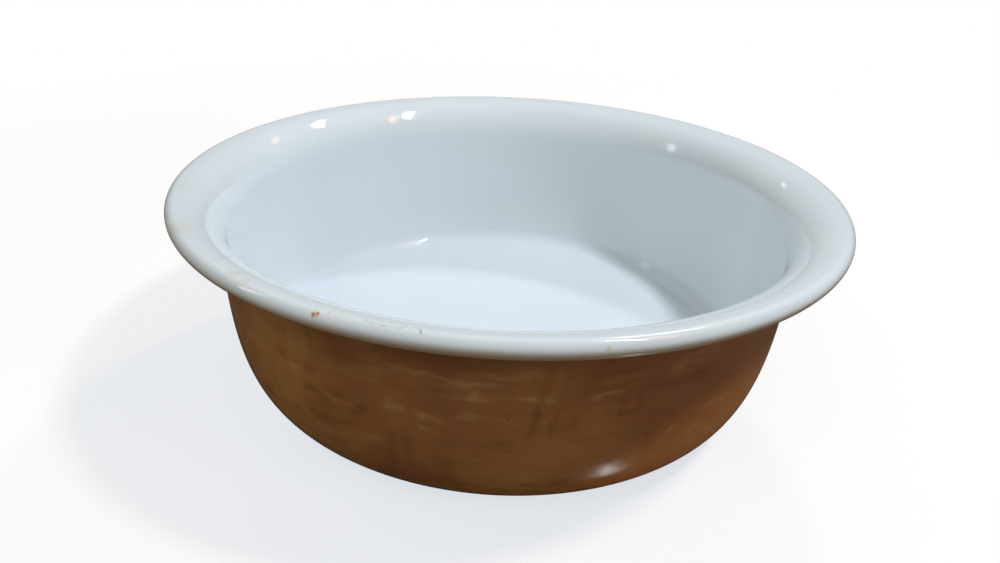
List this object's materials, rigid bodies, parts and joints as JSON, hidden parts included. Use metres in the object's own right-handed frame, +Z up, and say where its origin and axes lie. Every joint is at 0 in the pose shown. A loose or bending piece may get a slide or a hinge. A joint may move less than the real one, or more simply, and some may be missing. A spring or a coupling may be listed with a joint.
{
  "type": "porcelain bowl",
  "caption": "Round porcelain serving bowl with a white glazed inside, a wide flared white rim with a thick round lip, a brushed brown outside wall and a low bare foot ring.",
  "frame": {"origin": "centre of the standing circle, on the surface that the foot ring stands on", "axes": "+Z up along the bowl's axis, +X and +Y across the rim"},
  "size_m": [0.24, 0.24, 0.0786],
  "materials": {
    "porcelain": "matt fired clay",
    "bare_foot": "matt, wiped bare of glaze",
    "white_lining": "glossy bluish white glaze",
    "white_rim": "glossy white glaze, lightly stained",
    "brown_coat": "glossy brown, brushed in streaks",
    "base_glaze": "glossy white glaze"
  },
  "bodies": {
    "root": {"porcelain_body": "porcelain", "foot_ring": "bare_foot", "white_lining_glaze": "white_lining", "white_rim_glaze": "white_rim", "brown_wall_coat": "brown_coat", "base_glaze": "base_glaze"}
  },
  "joints": []
}
